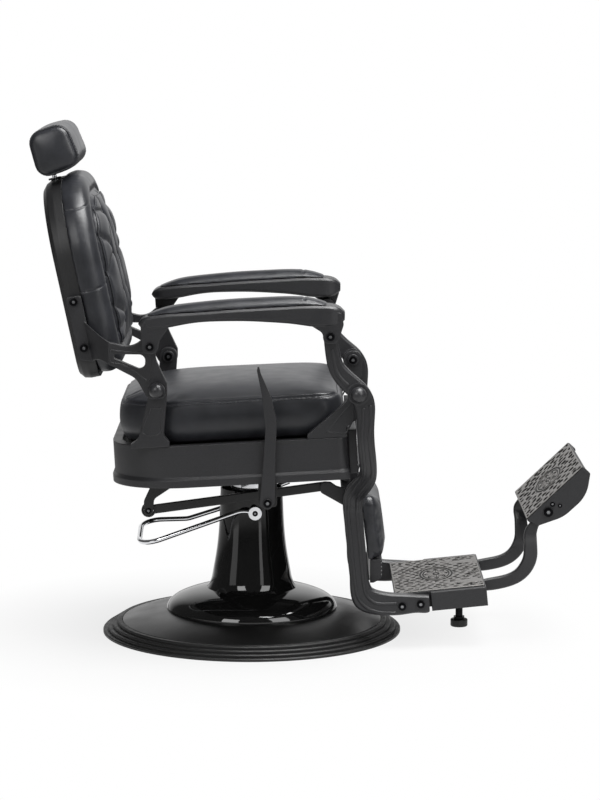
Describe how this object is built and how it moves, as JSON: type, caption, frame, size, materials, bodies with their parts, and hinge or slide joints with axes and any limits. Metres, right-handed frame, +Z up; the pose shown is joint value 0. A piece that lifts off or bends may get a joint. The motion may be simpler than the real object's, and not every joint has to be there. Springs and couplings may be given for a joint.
{
  "type": "barber chair",
  "caption": "Classic hydraulic barber chair with reclining tufted back, adjustable headrest, linked leg rest, flip-up footrest and round pedestal base.",
  "frame": {"origin": "centre of the round base, on the floor", "axes": "+X towards the footrest (the sitter's front), +Y the sitter's left, +Z up"},
  "size_m": [1.2023, 0.6864, 1.1231],
  "materials": {
    "black_upholstery": "satin",
    "black_casting": "matte",
    "black_shell": "matte",
    "black_steel": "matte",
    "gloss_black_steel": "gloss",
    "base_iron": "matte",
    "black_rubber": "matte",
    "tread_aluminium": "satin",
    "bright_chrome": "polished",
    "plain_steel": "satin",
    "dark_bolt": "satin",
    "plywood": "matte"
  },
  "bodies": {
    "base": {"base_plate": "base_iron", "base_rim": "black_rubber", "base_cover": "black_steel", "bell_cover": "gloss_black_steel", "base_bolts": "plain_steel", "pump_cylinder": "plain_steel", "gland_head": "plain_steel", "pedal_trunnions": "bright_chrome"},
    "ram": {"ram": "bright_chrome", "piston": "plain_steel", "thrust_washer": "plain_steel"},
    "seat": {"seat_plate": "black_steel", "seat_socket": "black_steel", "frame_rail_right": "black_steel", "frame_rail_left": "black_steel", "apron": "black_casting", "front_trim": "black_casting", "seat_board": "plywood", "seat_cushion": "black_upholstery", "rear_post_right": "black_casting", "rear_post_left": "black_casting", "front_post_right": "black_casting", "front_post_left": "black_casting", "pivot_bolts": "dark_bolt", "lever_bracket": "black_steel"},
    "pedal": {"pump_pedal": "bright_chrome"},
    "plunger": {"pump_plunger": "plain_steel"},
    "lever": {"recline_lever": "black_casting"},
    "back": {"back_bracket_right": "black_casting", "back_bracket_left": "black_casting", "back_shell": "black_shell", "back_cushion": "black_upholstery", "tuft_buttons": "black_upholstery", "back_bolts": "dark_bolt", "headrest_socket": "black_steel"},
    "arm_right": {"arm_right": "black_casting", "arm_pad_right": "black_upholstery"},
    "arm_left": {"arm_left": "black_casting", "arm_pad_left": "black_upholstery"},
    "leg": {"leg_right": "black_casting", "leg_left": "black_casting", "calf_board": "plywood", "calf_pad": "black_upholstery", "cross_tube": "black_steel", "kick_panel": "black_casting", "footplate": "tread_aluminium", "footrest_arm_right": "black_casting", "footrest_arm_left": "black_casting", "leg_bolts": "dark_bolt"},
    "crank": {"crank_shaft": "black_steel"},
    "tie_right": {"tie_bar_right": "black_steel"},
    "tie_left": {"tie_bar_left": "black_steel"},
    "headrest": {"headrest_pad": "black_upholstery", "headrest_rod": "bright_chrome", "headrest_board": "plywood"},
    "footrest": {"footrest_tread": "tread_aluminium", "footrest_roll": "black_upholstery"},
    "foot": {"foot_screw": "plain_steel", "foot_pad": "black_rubber"}
  },
  "joints": [
    {"name": "lift", "type": "slide", "parent": "base", "child": "ram", "axis": [0, 0, 1], "range_m": [0, 0.16]},
    {"name": "swivel", "type": "hinge", "parent": "ram", "child": "seat", "pos_m": [0, 0, 0.337], "axis": [0, 0, 1], "continuous": true},
    {"name": "pedal_press", "type": "hinge", "parent": "base", "child": "pedal", "pos_m": [0.009, 0, 0.276], "axis": [0, -1, 0], "range_deg": [0, 15], "stiffness_Nm_per_rad": 6, "springref_deg": -34.38},
    {"name": "plunger_stroke", "type": "slide", "parent": "base", "child": "plunger", "axis": [0, 0, -1], "range_m": [0, 0.0092]},
    {"name": "lever_pull", "type": "hinge", "parent": "seat", "child": "lever", "pos_m": [0.038, -0.297, 0.336], "axis": [0, -1, 0], "range_deg": [0, 15], "stiffness_Nm_per_rad": 3, "springref_deg": -22.92},
    {"name": "recline", "type": "hinge", "parent": "seat", "child": "back", "pos_m": [-0.193, 0, 0.578], "axis": [0, -1, 0], "range_deg": [0, 40]},
    {"name": "arm_swing_right", "type": "hinge", "parent": "back", "child": "arm_right", "pos_m": [-0.207, -0.322, 0.672], "axis": [0, -1, 0], "range_deg": [-44, 1]},
    {"name": "arm_swing_left", "type": "hinge", "parent": "back", "child": "arm_left", "pos_m": [-0.207, 0.322, 0.672], "axis": [0, -1, 0], "range_deg": [-44, 1]},
    {"name": "leg_swing", "type": "hinge", "parent": "seat", "child": "leg", "pos_m": [0.229, 0, 0.57], "axis": [0, -1, 0], "range_deg": [-1, 33]},
    {"name": "crank_turn", "type": "hinge", "parent": "seat", "child": "crank", "pos_m": [-0.155, 0, 0.424], "axis": [0, -1, 0], "range_deg": [-1, 54]},
    {"name": "tie_swing_right", "type": "hinge", "parent": "leg", "child": "tie_right", "pos_m": [0.161, -0.1595, 0.349], "axis": [0, -1, 0], "range_deg": [-33, 1]},
    {"name": "tie_swing_left", "type": "hinge", "parent": "leg", "child": "tie_left", "pos_m": [0.161, 0.1595, 0.349], "axis": [0, -1, 0], "range_deg": [-33, 1]},
    {"name": "headrest_height", "type": "slide", "parent": "back", "child": "headrest", "axis": [-0.2079, 0, 0.9781], "range_m": [0, 0.08]},
    {"name": "footrest_flip", "type": "hinge", "parent": "leg", "child": "footrest", "pos_m": [0.642, 0, 0.294], "axis": [0, 1, 0], "range_deg": [0, 100]},
    {"name": "foot_height", "type": "slide", "parent": "leg", "child": "foot", "axis": [0, 0, 1], "range_m": [-0.005, 0.0034]}
  ],
  "couplings": [
    {"joint": "arm_swing_right", "follows": "recline", "ratio": -1.0733},
    {"joint": "arm_swing_left", "follows": "recline", "ratio": -1.0733},
    {"joint": "leg_swing", "follows": "recline", "ratio": 0.7948},
    {"joint": "crank_turn", "follows": "recline", "ratio": 1.308},
    {"joint": "tie_swing_right", "follows": "recline", "ratio": -0.7825},
    {"joint": "tie_swing_left", "follows": "recline", "ratio": -0.7825},
    {"joint": "plunger_stroke", "follows": "pedal_press", "m_per_rad": 0.0345}
  ]
}
